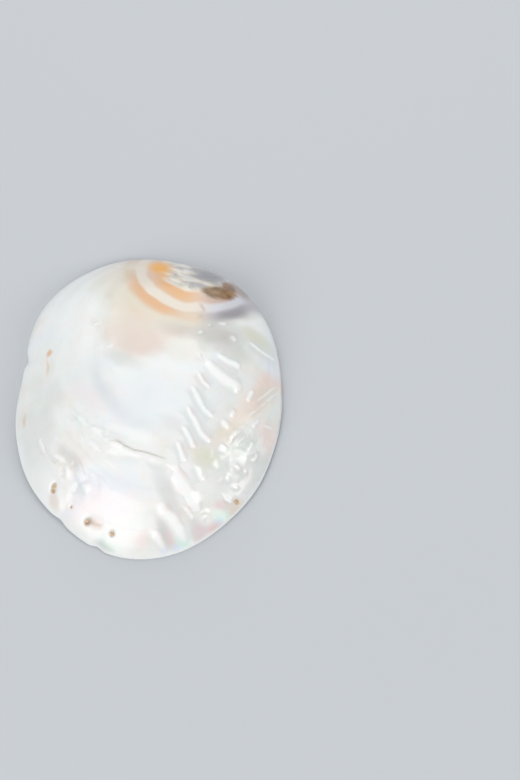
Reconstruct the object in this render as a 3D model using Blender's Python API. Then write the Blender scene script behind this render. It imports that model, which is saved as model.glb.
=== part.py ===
"""One valve of a pearl oyster shell, ground down to its mother-of-pearl and polished.

It rests on its rim with the outer face up. Blender units are metres, +Z is up, and the origin is
on the rest plane under the middle of the valve. The hinge end, with the beak, is at +X +Y.
Run it with blender --background --python part.py, or from Blender's text editor.
"""

import math

import bmesh
import bpy
import numpy as np
from mathutils import Vector
from mathutils.geometry import delaunay_2d_cdt

MM = 0.001

# Driving sizes. A plan point is x and y on the rest plane.
CROWN_HEIGHT = 29.0 * MM
CROWN = np.array([11.0, 9.0]) * MM
BEAK = np.array([36.5, 54.0]) * MM
BEAK_SWELL = 4.0 * MM
BEAK_SPREAD = 15.0 * MM
WALL_AT_CROWN = 3.2 * MM
LIP_RADIUS = 0.8 * MM
LIP_WIDTH = 2.2 * MM
HINGE_PLATE_WIDTH = 4.6 * MM
HINGE_BEARING = math.radians(28)
HINGE_SPREAD = math.radians(34)

# The dome's fall from the crown: how full its shoulder is, and how steep it meets the rim
SHOULDER = 2.2
FOOT_AT_BELLY = 0.86
FOOT_AT_BEAK = 0.62
BEAK_FLANK_SPREAD = math.radians(55)

# Distance of the rim from the origin every 15 degrees, anticlockwise from +X
RIM_RADII = np.array([
    61.0, 62.5, 66.2, 70.2, 73.0, 73.8,
    75.1, 75.7, 74.4, 71.4, 65.6, 60.8,
    60.7, 62.4, 64.9, 67.4, 70.2, 74.2,
    75.2, 72.8, 68.8, 65.7, 62.8, 61.1,
]) * MM

# Nicks in the rim, each a bearing in degrees, a depth and a half width along the rim
RIM_NICKS = [
    (159, 1.3 * MM, 3.0 * MM),
    (236, 0.9 * MM, 3.2 * MM),
    (253, 1.1 * MM, 2.6 * MM),
]
NICK_FADE = 8

# The rim stands on three stretches and is lifted a little between them
RIM_LIFT = 0.9 * MM
RIM_STAND = 0.15 * MM
STAND_BEARING = math.radians(30)

# Folds that fan out over the hinge side and the far end, each a plan line in millimetres,
# a height and a half width
FOLDS = [
    ([(44.5, 23.2), (58.9, 19.7)], 0.7 * MM, 1.6 * MM),
    ([(32.6, 13.2), (48.7, 8.2)], 1.0 * MM, 2.3 * MM),
    ([(29.5, 7.3), (42.7, -1.2)], 1.1 * MM, 2.4 * MM),
    ([(23.2, 3.1), (28.4, -3.6)], 0.6 * MM, 1.4 * MM),
    ([(19.6, -1.5), (24.1, -9.6), (29.4, -16.7)], 1.0 * MM, 1.7 * MM),
    ([(17.8, -13.2), (23.3, -20.5), (28.9, -27.5)], 1.0 * MM, 1.7 * MM),
    ([(16.3, -21.2), (21.9, -31.3)], 1.0 * MM, 1.6 * MM),
    ([(14.5, -27.6), (18.0, -37.6)], 0.9 * MM, 1.5 * MM),
    ([(14.1, -40.7), (18.2, -48.5), (23.4, -56.1)], 1.4 * MM, 2.8 * MM),
    ([(5.9, -55.1), (12.4, -61.7), (18.9, -69.1)], 1.3 * MM, 2.4 * MM),
    ([(5.5, -65.5), (9.5, -73.0)], 1.0 * MM, 1.8 * MM),
]

# Where growth stopped for a while: a crack under the dome, and a furrow inside the belly rim
CRACK = [(-17.0, -27.3), (-11.5, -28.2), (-5.2, -32.3), (3.0, -34.4), (9.5, -36.2)]
CRACK_DEPTH = 0.8 * MM
CRACK_HALF_WIDTH = 1.1 * MM
FURROW = [(-46.9, 23.2), (-45.5, 8.4), (-45.2, -5.0), (-48.6, -12.0)]
FURROW_DEPTH = 0.6 * MM
FURROW_HALF_WIDTH = 2.0 * MM

# Worm holes that the polishing opened, each a plan point in millimetres and a radius
WORM_HOLES = [
    ((-40.8, -45.7), 1.7 * MM),
    ((-25.7, -59.9), 1.5 * MM),
    ((-14.5, -65.5), 1.3 * MM),
    ((40.3, -49.6), 1.3 * MM),
]
WORM_HOLE_DEPTH = 0.9 * MM

# Broad growth waves, which run round the beak
GROWTH_WAVES = 7.5
GROWTH_WAVE_HEIGHT = 0.3 * MM

# Mesh: corners round the rim, two rings of points in from it, and the spacing of the others
RIM_CORNERS = 168
RIM_SAMPLES = 720
FIRST_RING = 1.0 * MM
SECOND_RING = 2.8 * MM
OUTER_SPACING = 3.6 * MM
INNER_SPACING = 4.8 * MM
MARK_SPACING = 2.0 * MM
LEAST_GAP_AT_MARKS = 0.8 * MM
LEAST_GAP_IN_GRID = 0.7
GRID_REACH = 80 * MM
LIP_TURNS = (0, 45, 90)

NACRE_COLOUR = (0.80, 0.79, 0.76, 1.0)
NACRE_ROUGHNESS = 0.3


def through_samples(samples, turns):
    """The smooth closed curve through evenly spaced samples, read at each turn from 0 to 1."""
    waves = np.fft.rfft(samples) / len(samples)
    value = np.full(np.shape(turns), waves[0].real)
    for order, wave in enumerate(waves[1:], 1):
        share = 1 if 2 * order == len(samples) else 2
        value = value + share * (wave * np.exp(2j * math.pi * order * turns)).real
    return value


def turned(bearing, middle):
    """The angle from middle to bearing, between minus and plus half a turn."""
    return (bearing - middle + math.pi) % (2 * math.pi) - math.pi


def bump(distance, spread):
    return np.exp(-((distance / spread) ** 2))


def bearing_of(plan):
    return np.arctan2(plan[:, 1], plan[:, 0])


def distance_to_line(plan, line):
    """Distance of each plan point from a line of plan points in millimetres."""
    line = np.array(line) * MM
    nearest = np.full(len(plan), np.inf)
    for start, end in zip(line[:-1], line[1:]):
        way = end - start
        along = np.clip((plan - start) @ way / (way @ way), 0, 1)
        nearest = np.minimum(nearest, np.hypot(*(plan - start - along[:, None] * way).T))
    return nearest


def rim_reach(bearing, nicks):
    """Distance of the rim from the origin at each bearing."""
    whole = through_samples(RIM_RADII, bearing / (2 * math.pi))
    reach = whole
    for degrees, depth, half_width in nicks:
        along = turned(bearing, math.radians(degrees)) * whole
        reach = reach - depth * bump(along, half_width)
    return reach


def lip_width(bearing):
    """Width of the lip's underside, which spreads into the hinge plate."""
    spread = bump(turned(bearing, HINGE_BEARING), HINGE_SPREAD)
    return LIP_WIDTH + (HINGE_PLATE_WIDTH - LIP_WIDTH) * spread


def no_inset(bearing):
    return np.zeros(np.shape(bearing))


def rim_line(count, inset=no_inset, nicks=RIM_NICKS):
    """Plan points round the rim, each moved in towards the origin by its inset."""
    bearing = np.arange(count) * 2 * math.pi / count
    reach = rim_reach(bearing, nicks) - inset(bearing)
    return np.stack([reach * np.cos(bearing), reach * np.sin(bearing)], axis=1)


def rim_lift(bearing):
    wave = (1 - np.cos(3 * (bearing - STAND_BEARING))) / 2
    return np.maximum(0, wave * (RIM_LIFT + RIM_STAND) - RIM_STAND)


def reach_from(centre, plan, rim):
    """Distance of each plan point from centre, and that of the rim on the same bearing."""
    spokes = rim - centre
    spokes = spokes[np.argsort(bearing_of(spokes))]
    away = plan - centre
    reach = np.interp(
        bearing_of(away), bearing_of(spokes), np.hypot(*spokes.T), period=2 * math.pi
    )
    return np.hypot(*away.T), reach


def share_of_reach(plan, inset=no_inset):
    """Distance from the crown as a share of the rim's. The nicks are felt near the rim alone."""
    away, nicked = reach_from(CROWN, plan, rim_line(RIM_SAMPLES, inset))
    _, whole = reach_from(CROWN, plan, rim_line(RIM_SAMPLES, inset, nicks=[]))
    nearness = np.minimum(away / nicked, 1) ** NICK_FADE
    return np.minimum(away / (whole + (nicked - whole) * nearness), 1)


def dome(plan, share, height, base):
    """Height of the smooth dome, which falls from height at the crown to base at the rim."""
    bearing_to_beak = math.atan2(*(BEAK - CROWN)[::-1])
    flank = bump(turned(bearing_of(plan - CROWN), bearing_to_beak), BEAK_FLANK_SPREAD)
    foot = FOOT_AT_BELLY + (FOOT_AT_BEAK - FOOT_AT_BELLY) * flank
    rise = (height - base) * (1 - share**SHOULDER) ** foot
    swell = BEAK_SWELL * bump(np.hypot(*(plan - BEAK).T), BEAK_SPREAD) * (1 - share**8)
    return base + rise + swell + rim_lift(bearing_of(plan)) * share**5


def relief(plan):
    """Height of the folds, growth marks and worm holes over the smooth dome."""
    height = np.zeros(len(plan))
    for line, crest, half_width in FOLDS:
        height += crest * bump(distance_to_line(plan, line), half_width)
    height -= CRACK_DEPTH * bump(distance_to_line(plan, CRACK), CRACK_HALF_WIDTH)
    height -= FURROW_DEPTH * bump(distance_to_line(plan, FURROW), FURROW_HALF_WIDTH)
    for place, radius in WORM_HOLES:
        height -= WORM_HOLE_DEPTH * bump(np.hypot(*(plan - np.array(place) * MM).T), radius)
    away, reach = reach_from(BEAK, plan, rim_line(RIM_SAMPLES, nicks=[]))
    age = away / reach
    return height + GROWTH_WAVE_HEIGHT * age * np.sin(2 * math.pi * GROWTH_WAVES * age)


def outer_height(plan):
    """Height of the outer face, whose relief dies away at the lip."""
    share = share_of_reach(plan)
    return dome(plan, share, CROWN_HEIGHT, LIP_RADIUS) + (1 - share**20) * relief(plan)


def inner_height(plan):
    return dome(plan, share_of_reach(plan, lip_width), CROWN_HEIGHT - WALL_AT_CROWN, 0)


def beside(line, offset):
    """Plan points along a line, moved to its left by offset."""
    line = np.array(line) * MM
    run = np.concatenate([[0], np.cumsum(np.hypot(*np.diff(line, axis=0).T))])
    stops = np.linspace(0, run[-1], round(run[-1] / MARK_SPACING) + 1)
    points = np.stack([np.interp(stops, run, axis) for axis in line.T], axis=1)
    way = np.gradient(points, axis=0)
    left = np.stack([-way[:, 1], way[:, 0]], axis=1) / np.hypot(*way.T)[:, None]
    return points + offset * left


def ring(centre, radius, count):
    """Plan points round a centre."""
    angle = np.arange(count) * 2 * math.pi / count
    return centre + radius * np.stack([np.cos(angle), np.sin(angle)], axis=1)


def mark_points():
    """Plan points that follow the folds, the growth marks and the worm holes."""
    points = []
    for place, radius in WORM_HOLES:
        centre = np.array(place) * MM
        points += [centre[None], ring(centre, radius, 6), ring(centre, 2 * radius, 8)]
    lines = [(CRACK, CRACK_HALF_WIDTH), (FURROW, FURROW_HALF_WIDTH)]
    lines += [(line, half_width) for line, _, half_width in FOLDS]
    for side in (0, -1, 1, -2, 2):
        points += [beside(line, side * half_width) for line, half_width in lines]
    return np.vstack(points)


def grid_points(spacing):
    """Plan points in rows of equal triangles over the whole valve."""
    rows = np.arange(-GRID_REACH, GRID_REACH, spacing * math.sin(math.radians(60)))
    stops = np.arange(-GRID_REACH, GRID_REACH, spacing)
    return np.array([
        (x + spacing / 2 * (row % 2), y) for row, y in enumerate(rows) for x in stops
    ])


def moved_in(rim, inset):
    away = np.hypot(*rim.T)
    return rim * ((away - inset) / away)[:, None]


def within(points, rim):
    """The points that lie within a rim round the origin."""
    away, reach = reach_from(np.zeros(2), points, rim)
    return points[away < reach]


def spread_out(points, kept, least_gap):
    """The kept points, then each of the others that is not too near to one before it."""
    for point in points:
        if np.min(np.hypot(*(kept - point).T)) > least_gap:
            kept = np.vstack([kept, point])
    return kept


def sheet_points(rim, marks, spacing):
    """Plan points of one face of the valve: its rim, two rings, the marks and a grid."""
    second = moved_in(rim, SECOND_RING)
    points = np.vstack([rim, moved_in(rim, FIRST_RING), second[::2]])
    points = spread_out(within(marks, second), points, LEAST_GAP_AT_MARKS)
    return spread_out(within(grid_points(spacing), second), points, LEAST_GAP_IN_GRID * spacing)


def add_sheet(bm, rim, plan, height, facing_up):
    """Triangles over all the plan points, lifted to their height. The first ones are the rim's."""
    count = len(rim)
    edges = [(corner, (corner + 1) % count) for corner in range(count)]
    points = [Vector(point / MM) for point in plan]
    _, _, faces, sources, _, _ = delaunay_2d_cdt(points, edges, [], 1, 1e-5)
    corners = rim + [
        bm.verts.new((*point, z)) for point, z in zip(plan[count:], height(plan[count:]))
    ]
    for face in faces:
        loop = [corners[sources[corner][0]] for corner in face]
        bm.faces.new(loop if facing_up else loop[::-1])


def add_loop(bm, plan, height):
    """Corners at plan points round the rim, at a height over the rim's own lift."""
    lift = rim_lift(bearing_of(plan))
    return [bm.verts.new((*point, height + rise)) for point, rise in zip(plan, lift)]


def add_band(bm, upper, lower):
    for corner in range(len(upper)):
        bm.faces.new((upper[corner - 1], lower[corner - 1], lower[corner], upper[corner]))


def nacre_material():
    material = bpy.data.materials.new("nacre")
    material.use_nodes = True
    shader = material.node_tree.nodes["Principled BSDF"]
    shader.inputs["Base Color"].default_value = NACRE_COLOUR
    shader.inputs["Roughness"].default_value = NACRE_ROUGHNESS
    shader.inputs["Metallic"].default_value = 0.0
    return material


def build_valve():
    bm = bmesh.new()
    outer_rim = rim_line(RIM_CORNERS)
    inner_rim = rim_line(RIM_CORNERS, lip_width)
    lip = []
    for turn in np.radians(LIP_TURNS):
        plan = moved_in(outer_rim, LIP_RADIUS * (1 - math.cos(turn)))
        lip.append(add_loop(bm, plan, LIP_RADIUS * (1 - math.sin(turn))))
    lip.append(add_loop(bm, inner_rim, 0))
    for upper, lower in zip(lip[:-1], lip[1:]):
        add_band(bm, upper, lower)
    outer = sheet_points(outer_rim, mark_points(), OUTER_SPACING)
    add_sheet(bm, lip[0], outer, outer_height, True)
    inner = sheet_points(inner_rim, np.empty((0, 2)), INNER_SPACING)
    add_sheet(bm, lip[-1], inner, inner_height, False)

    mesh = bpy.data.meshes.new("valve")
    bm.to_mesh(mesh)
    bm.free()
    mesh.shade_smooth()
    mesh.materials.append(nacre_material())
    valve = bpy.data.objects.new("valve", mesh)
    bpy.context.scene.collection.objects.link(valve)
    return valve


def clear_scene():
    for old in list(bpy.data.objects):
        bpy.data.objects.remove(old, do_unlink=True)


def main():
    clear_scene()
    build_valve()


if __name__ == "__main__":
    main()
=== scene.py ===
"""The looks of a pearl oyster shell's valve, ground down to its mother-of-pearl and polished.

Run as a script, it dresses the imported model: it makes the valve and its nacre, then the floor,
the lights and the camera. The panel in the 3D view's sidebar lists the sizes and colours.
"""

import math

import bpy
import numpy as np
from bpy.props import FloatProperty, FloatVectorProperty, PointerProperty
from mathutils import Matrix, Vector
from mathutils.geometry import delaunay_2d_cdt


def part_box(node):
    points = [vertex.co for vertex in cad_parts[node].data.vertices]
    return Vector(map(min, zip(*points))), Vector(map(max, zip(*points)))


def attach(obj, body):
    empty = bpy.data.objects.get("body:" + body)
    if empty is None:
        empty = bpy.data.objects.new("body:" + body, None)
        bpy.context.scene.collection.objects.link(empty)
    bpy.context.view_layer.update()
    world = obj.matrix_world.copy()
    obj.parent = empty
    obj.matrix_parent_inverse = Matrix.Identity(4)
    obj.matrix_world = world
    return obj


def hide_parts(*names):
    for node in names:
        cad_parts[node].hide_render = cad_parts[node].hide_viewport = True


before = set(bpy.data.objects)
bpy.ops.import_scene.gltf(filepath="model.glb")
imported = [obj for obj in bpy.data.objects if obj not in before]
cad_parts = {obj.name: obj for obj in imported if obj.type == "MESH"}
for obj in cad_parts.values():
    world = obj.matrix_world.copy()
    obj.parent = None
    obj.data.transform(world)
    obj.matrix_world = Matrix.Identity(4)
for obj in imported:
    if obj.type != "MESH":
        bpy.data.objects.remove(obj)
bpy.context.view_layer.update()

bl_info = {
    "name": "Pearl Oyster Shell",
    "version": (1, 0, 0),
    "blender": (4, 5, 0),
    "location": "View3D > Sidebar > Shell",
    "description": "Makes a polished valve of a pearl oyster shell and a studio to show it in",
    "category": "Add Mesh",
}

# One millimetre of the valve, from the frame. A plan point is x and y on the rest plane.
LENGTH_IN_MM = 150.52
LOW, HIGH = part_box("valve")
MM = (HIGH[1] - LOW[1]) / LENGTH_IN_MM

# The dome, as the frame's valve has it
CROWN_HEIGHT = 29.0 * MM
CROWN = np.array([11.0, 9.0]) * MM
BEAK = np.array([36.5, 54.0]) * MM
BEAK_SWELL = 4.0 * MM
BEAK_SPREAD = 15.0 * MM
WALL_AT_CROWN = 3.2 * MM
LIP_RADIUS = 0.8 * MM
LIP_WIDTH = 2.2 * MM
HINGE_PLATE_WIDTH = 4.6 * MM
HINGE_BEARING = math.radians(28)
HINGE_SPREAD = math.radians(34)
SHOULDER = 2.2
FOOT_AT_BELLY = 0.86
FOOT_AT_BEAK = 0.62
BEAK_FLANK_SPREAD = math.radians(55)

# Distance of the rim from the origin every 15 degrees, anticlockwise from +X
RIM_RADII = np.array([
    61.0, 62.5, 66.2, 70.2, 73.0, 73.8,
    75.1, 75.7, 74.4, 71.4, 65.6, 60.8,
    60.7, 62.4, 64.9, 67.4, 70.2, 74.2,
    75.2, 72.8, 68.8, 65.7, 62.8, 61.1,
]) * MM

# Nicks in the rim, each a bearing in degrees, a depth and a half width along the rim
RIM_NICKS = [
    (159, 1.3 * MM, 3.0 * MM),
    (236, 0.9 * MM, 3.2 * MM),
    (253, 1.1 * MM, 2.6 * MM),
]

# The rim stands on three stretches and is lifted a little between them
RIM_LIFT = 0.9 * MM
RIM_STAND = 0.15 * MM
STAND_BEARING = math.radians(30)

# Powers of a point's share of the rim's reach: the higher, the closer to the rim is the change
NICK_FADE = 8
SWELL_FADE = 8
LIFT_FADE = 5
LIP_FADE = 20

# Relief on the outer face, each a plan line in millimetres, a height and a half width in
# millimetres. A height below 0 is a hollow. First the folds that fan out from the dome:
FOLDS = [
    ([(44, 25), (49.6, 21.1), (54.5, 19.8), (58.8, 19.5)], 0.5, 0.9),
    ([(30, 14), (34, 11.6), (37.4, 10.2), (42.6, 8.8)], 0.6, 1.7),
    ([(24.5, 11.2), (30, 4.8), (35, 1.4), (43.4, -2)], 0.75, 2.9),
    ([(22.2, 13.2), (26, 8.8)], 0.25, 1.0),
    ([(22.2, 5), (24.4, 0), (28.7, -4.3)], 0.45, 1.1),
    ([(18.6, -1), (21.4, -5.8), (23.8, -10), (26, -14), (30, -17.2)], 0.6, 1.3),
    ([(16.6, -10), (20, -16.2), (22.6, -20.4), (25, -24.8), (28.6, -28.2)], 0.6, 1.35),
    ([(15.4, -20), (18.9, -25.8), (22, -31.8)], 0.55, 1.3),
    ([(13.4, -27), (15.9, -33.6), (18.2, -38.2)], 0.5, 1.2),
    ([(11, -36.5), (15.6, -45.8), (19.4, -51), (23.6, -57.2)], 0.9, 3.2),
    ([(5, -52), (8.6, -57.6), (11.6, -60.2), (14.2, -63.4), (18.6, -69.8)], 0.8, 2.5),
    ([(3, -63), (5.8, -68.1), (7.8, -70.6), (9.8, -74)], 0.65, 2.0),
    ([(15.8, -53.6), (21.6, -60)], 0.35, 0.8),
    ([(21, -36.4), (23.4, -40), (25.2, -45)], 0.4, 1.1),
]
# Then the short lumps beyond them,
LUMPS = [
    ([(48, 1.2), (44.4, -6.6)], 0.34, 1.3),
    ([(40.4, -11), (36.2, -15)], 0.28, 1.3),
    ([(33, -16.4), (37.2, -21.6)], 0.36, 1.9),
    ([(41.6, -19.2), (36.2, -25.8)], 0.32, 1.0),
    ([(50.6, -12.2), (47, -17.4)], 0.28, 1.2),
    ([(31.4, -28.2), (36.8, -31.4)], 0.36, 2.1),
    ([(47.6, -23), (45.5, -28)], 0.35, 0.9),
    ([(49.8, -27), (47, -32.8)], 0.4, 1.0),
    ([(38, -34.8), (42.6, -37.6)], 0.28, 1.4),
    ([(45.2, -35.2), (43.6, -38.8)], 0.32, 0.9),
    ([(50.6, -15.2), (58, -14.4)], 0.3, 0.8),
    ([(34.4, -40.4), (37.6, -43)], 0.38, 1.15),
    ([(37.6, -44.6), (42, -44.2)], 0.34, 1.0),
    ([(33.4, -47.8), (35.7, -49.8), (39, -50.5)], 0.4, 0.8),
    ([(22.4, -57.9), (25.6, -55.3), (29.2, -56.3)], 0.4, 0.8),
    ([(24, -58.6), (27.6, -57.4)], 0.45, 1.2),
    ([(46.6, -8), (52, -1.6), (58.7, 7.1)], 0.3, 0.7),
    ([(48.6, -9.2), (54.4, -2.4), (60, 5)], 0.3, 0.7),
    ([(43, -15.6), (48, -10), (53.8, -3.3)], 0.3, 0.7),
    ([(36.5, -26.5), (42.5, -19.5)], 0.28, 0.7),
    ([(39.5, -27.5), (45, -21)], 0.28, 0.7),
    ([(29, -34.6), (31.2, -39)], 0.24, 1.4),
    ([(21, 31), (24.4, 33.4)], 0.3, 1.1),
    ([(26.4, 27.4), (30, 28.4)], 0.26, 0.9),
    ([(31, 29.2), (36.4, 30.4)], 0.3, 1.1),
    ([(21.4, 23), (26, 24.2)], 0.26, 1.0),
    ([(37, 25.2), (40.2, 20.8)], 0.26, 1.5),
    ([(22.8, 36), (25.4, 34.6)], 0.38, 1.0),
]
# and the creases and hollows of the belly side, round the crack and by a worm hole.
CREASES = [
    ([(-42.4, -28.6), (-39.6, -31.8), (-34.8, -34.8)], 0.34, 2.0),
    ([(-35, -34), (-34.4, -37.5), (-35, -42.8)], 0.28, 1.8),
    ([(-32.2, -13.8), (-25.2, -20.2)], 0.24, 2.4),
    ([(-25.4, -20.4), (-17.8, -25.2)], 0.3, 2.3),
    ([(-21.4, -25), (-15.4, -27.8), (-8, -31.4)], 0.26, 1.7),
    ([(-49, -19), (-46.6, -24), (-44, -29.4)], 0.28, 2.2),
    ([(-27.4, -42.8), (-24, -50.6)], 0.28, 2.8),
    ([(-25.6, -57.6), (-21.7, -59.6), (-17.8, -61.8)], 0.22, 1.6),
    ([(-26.3, 29), (-21.9, 31.2)], 0.3, 0.7),
    ([(-19.4, 16.4), (-14.6, 18.8)], 0.26, 1.1),
    ([(-24.4, 17), (-21, 18)], 0.24, 0.9),
    ([(-27, -26.6), (-19, -31.8)], 0.26, 2.0),
    ([(-25, -61), (-22, -62.8), (-19, -63.4)], -0.35, 1.5),
    ([(-25.4, -28.6), (-19, -33.4), (-12, -34.4), (-6.5, -35.5), (-0.9, -37.1)], -0.2, 1.8),
    ([(-0.9, -37.1), (4.6, -38.9), (12, -41)], -0.35, 1.8),
    ([(-28.6, -43.3), (-32.3, -48.3)], -0.35, 1.1),
    ([(-24.6, -18), (-16.4, -23)], -0.3, 1.5),
    ([(-37.2, -9.8), (-31.2, -17.3)], -0.3, 1.5),
    ([(-37.2, -35.5), (-36.6, -41.5)], -0.45, 1.0),
    ([(-46.6, -23), (-43.5, -29.6), (-39.6, -34.8)], -0.35, 1.3),
    ([(-32.4, -34.4), (-31.2, -37.4)], -0.35, 1.4),
    ([(-17.9, -21.6), (-11.8, -24.7), (-6.2, -27.8)], -0.3, 1.5),
]

# A crest rises over the first share of its length or over its end's length, the longer one, and
# its end is at least so many half widths long. It is narrowest at both ends. It sways sideways
# within a width, and the painted shade round its foot spreads further out.
CREST_STEP = 0.4 * MM
CREST_START = 0.35
CREST_END = 1.7 * MM
CREST_ROUNDING = 1.3
CREST_LEAST_WIDTH = 0.6
CREST_SWAY = 1.4 * MM
CREST_SHADE_SPREAD = 4.0 * MM

# Where growth stopped for a while: a crack under the dome, with a shelf on its hinge side and a
# lip on the other, and a furrow inside the belly rim. The crack is open in the middle and closes
# towards its ends: the higher the power, the closer to them.
CRACK = [
    (-17.0, -27.3), (-12.2, -27.9), (-9.2, -30.0), (-4.8, -32.2), (0.8, -33.5), (4.0, -34.6),
    (9.5, -36.2),
]
CRACK_DEPTH = 0.45 * MM
CRACK_HALF_WIDTH = 0.2 * MM
CRACK_SHELF = 0.3 * MM
CRACK_SHELF_SPREAD = 4.0 * MM
CRACK_LIP = 0.14 * MM
CRACK_LIP_AT = 1.3 * MM
CRACK_LIP_SPREAD = 0.9 * MM
CRACK_OPENNESS = 1.1
CRACK_CLOSING = 4
FURROW = [(-42, 26.5), (-44.5, 19.5), (-45.8, 11.4), (-45.6, 2.6), (-45.8, -3.8), (-48.3, -9.2)]
FURROW_DEPTH = 0.35 * MM
FURROW_HALF_WIDTH = 2.0 * MM

# Worm holes that the polishing opened, each a plan point in millimetres and a radius. The stain
# in a hole reaches so many radii from its middle.
WORM_HOLES = [
    ((-41.0, -43.2), 1.3 * MM),
    ((-41.3, -45.0), 1.3 * MM),
    ((-33.0, -52.9), 0.7 * MM),
    ((-25.7, -59.9), 1.5 * MM),
    ((-14.5, -65.5), 1.3 * MM),
    ((40.3, -49.6), 1.3 * MM),
]
WORM_HOLE_DEPTH = 1.1 * MM
WORM_HOLE_STEEPNESS = 6
STAIN_REACH = 1.1

# Broad growth waves, which run round the beak, and growth lines from the beak to the rim: raised
# ones, and ones that are only a change of colour
GROWTH_WAVES = 7.5
GROWTH_WAVE_HEIGHT = 0.3 * MM
RAISED_LINES = (1.5, 1.5, 26.0)
FAINT_LINES = (1.2, 1.2, 34.0)

# Growth rings near the beak are round a plan point in millimetres. They fade out between two
# distances from it, and turn from cool to warm between two places on X. Each of the two orange
# rings has a distance over which it begins, one over which it ends, and the oval it lies in.
# Within the first of the two worn distances the face is worn, and past the second it isn't.
# Streaks on the worn face follow a bearing.
RING_CENTRE = (21.5, 64.0)
RINGS_END = 40.0
RINGS_FADE = (39.0, 32.5)
COOL_TO_WARM = (30.0, 20.0)
OUTER_RING = ((28.0, 29.6), (35.5, 31.0), ((1.0, 43.0), (20, 10), -50))
INNER_RING = ((15.5, 18.0), (24.6, 22.8), ((11.5, 49.5), (17, 9), -45))
WORN_REACH = (14.5, 17.5)
WORN_BEARING = math.radians(-27)

# Where small lumps, painted glints and short creases cover the outer face: the middle and half
# widths of an oval in millimetres, and its turn in degrees. Creases run down the valve, aslant.
# An oval's and a patch's edges run between two shares of their half widths.
LUMPY_OVAL = ((42.0, -15.0), (20.0, 44.0), -12)
PAINTED_GLINT_OVAL = ((44.0, -31.0), (11.0, 22.0), -20)
CREASED_OVAL = ((-32.0, -28.0), (15.0, 30.0), 20)
CREASE_BEARING = math.radians(-52)
OVAL_EDGE = (1.4, 0.4)
PATCH_EDGE = (1.25, 0.25)

# On the inner face, where ribs run across and where a muscle left its scar, which is the first
# of two ovals less the second. Within an oval by the hinge, the margin between two shares of the
# rim's reach is streaked with brown. Blisters are each a plan point and a radius in millimetres:
# the first has the full height, and the others are lower as they are smaller.
RIBBED_OVAL = ((14.0, 58.0), (20.0, 9.0), 0)
RIB_BEARING = math.radians(72)
RIB_SWAY = 5.0 * MM
SCAR_OVALS = (((3.0, 45.0), (19.0, 12.0), 22), ((7.0, 56.0), (17.0, 11.0), 22))
SCAR_DEPTH = 0.35 * MM
HINGE_OVAL = ((62.0, 34.0), (72.0, 34.0), 118)
HINGE_MARGIN = (0.82, 0.93)
BLISTERS = [
    ((-14.0, 6.0), 3.4), ((-4.0, -12.0), 2.8), ((14.0, -22.0), 3.8), ((-21.0, -14.0), 2.0),
]
BLISTER_HEIGHT = 1.1 * MM
BLISTER_STEEPNESS = 3

# Mesh of the valve. The gaps and the margin are in steps of the grid. The triangulation is told
# to keep what lies inside the rim, and how close in millimetres two points are one.
RIM_CORNERS = 720
LIP_STEPS = 7
UNDERSIDE_STEPS = 4
OUTER_SPACING = 0.56 * MM
INNER_SPACING = 0.95 * MM
RIM_GAP = 0.5
GRID_MARGIN = 1.1
LEAST_GAP = 0.62
GRID_REACH = 80 * MM
CRACK_STEP = 0.4 * MM
CRACK_ROWS = (-0.45, -0.15, 0.15, 0.45)
INSIDE_ONLY = 1
SAME_POINT = 1e-5


def srgb(red, green, blue):
    """The linear colour that a screen shows as these values out of 255."""
    shown = np.array([red, green, blue]) / 255
    linear = np.where(shown <= 0.04045, shown / 12.92, ((shown + 0.055) / 1.055) ** 2.4)
    return (*linear.tolist(), 1.0)


WHITE = srgb(240, 241, 239)
# White of the painted highlights on crests, glints and bright zones
HIGHLIGHT_WHITE = srgb(252, 253, 251)
BLUE_WHITE = srgb(237, 241, 243)
MINT_WHITE = srgb(228, 241, 235)
SKY_WHITE = srgb(231, 236, 243)
LILAC_WHITE = srgb(229, 228, 234)
ROSE_WHITE = srgb(234, 222, 209)
PALE_CREAM = srgb(238, 236, 229)
CREAM = srgb(230, 221, 205)
BEIGE = srgb(224, 205, 185)
SAND = srgb(190, 188, 183)
PEACH_WHITE = srgb(243, 230, 217)
PEACH = srgb(223, 204, 192)
ORANGE = srgb(233, 181, 132)
VIVID_ORANGE = srgb(245, 178, 80)
PALE_ORANGE = srgb(229, 179, 137)
SALMON = srgb(246, 222, 214)
# Soft grey of faint growth lines and smudges, and of painted shade in hollows and on the valve's
# sides
SOFT_GREY_AND_SHADE = srgb(221, 223, 220)
ARC_SHADE_GREY = srgb(211, 219, 226)
# Grey of painted shade in troughs, round crest feet and on turned flanks
SHADE_GREY = srgb(200, 203, 202)
# Grey of the worn face at the beak, and of painted shade in the inner rib grooves
WORN_GREY_AND_SHADE = srgb(203, 197, 190)
WORN_LILAC = srgb(178, 171, 173)
DARK_LILAC = srgb(142, 138, 144)
LILAC = srgb(186, 181, 187)
MAUVE = srgb(200, 172, 163)
ROSE = srgb(247, 233, 237)
PINK = srgb(242, 213, 205)
DUSKY_PINK = srgb(226, 203, 203)
MINT = srgb(214, 242, 228)
PALE_MINT = srgb(228, 250, 241)
SKY = srgb(214, 230, 246)
LEMON = srgb(218, 216, 196)
HONEY = srgb(220, 188, 146)
GOLD = srgb(160, 120, 78)
BROWN = srgb(136, 101, 70)
DARK_BROWN = srgb(116, 86, 62)
TAUPE = srgb(156, 141, 132)
SILVER = srgb(214, 215, 226)
PEARL_GREY = srgb(211, 211, 217)
ROSE_SILVER = srgb(236, 229, 232)
SCAR_ROSE = srgb(176, 142, 134)
SCAR_BROWN = srgb(181, 122, 84)
SCAR_GOLD = srgb(208, 154, 98)
CRACK_SHADE = srgb(158, 154, 146)
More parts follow.
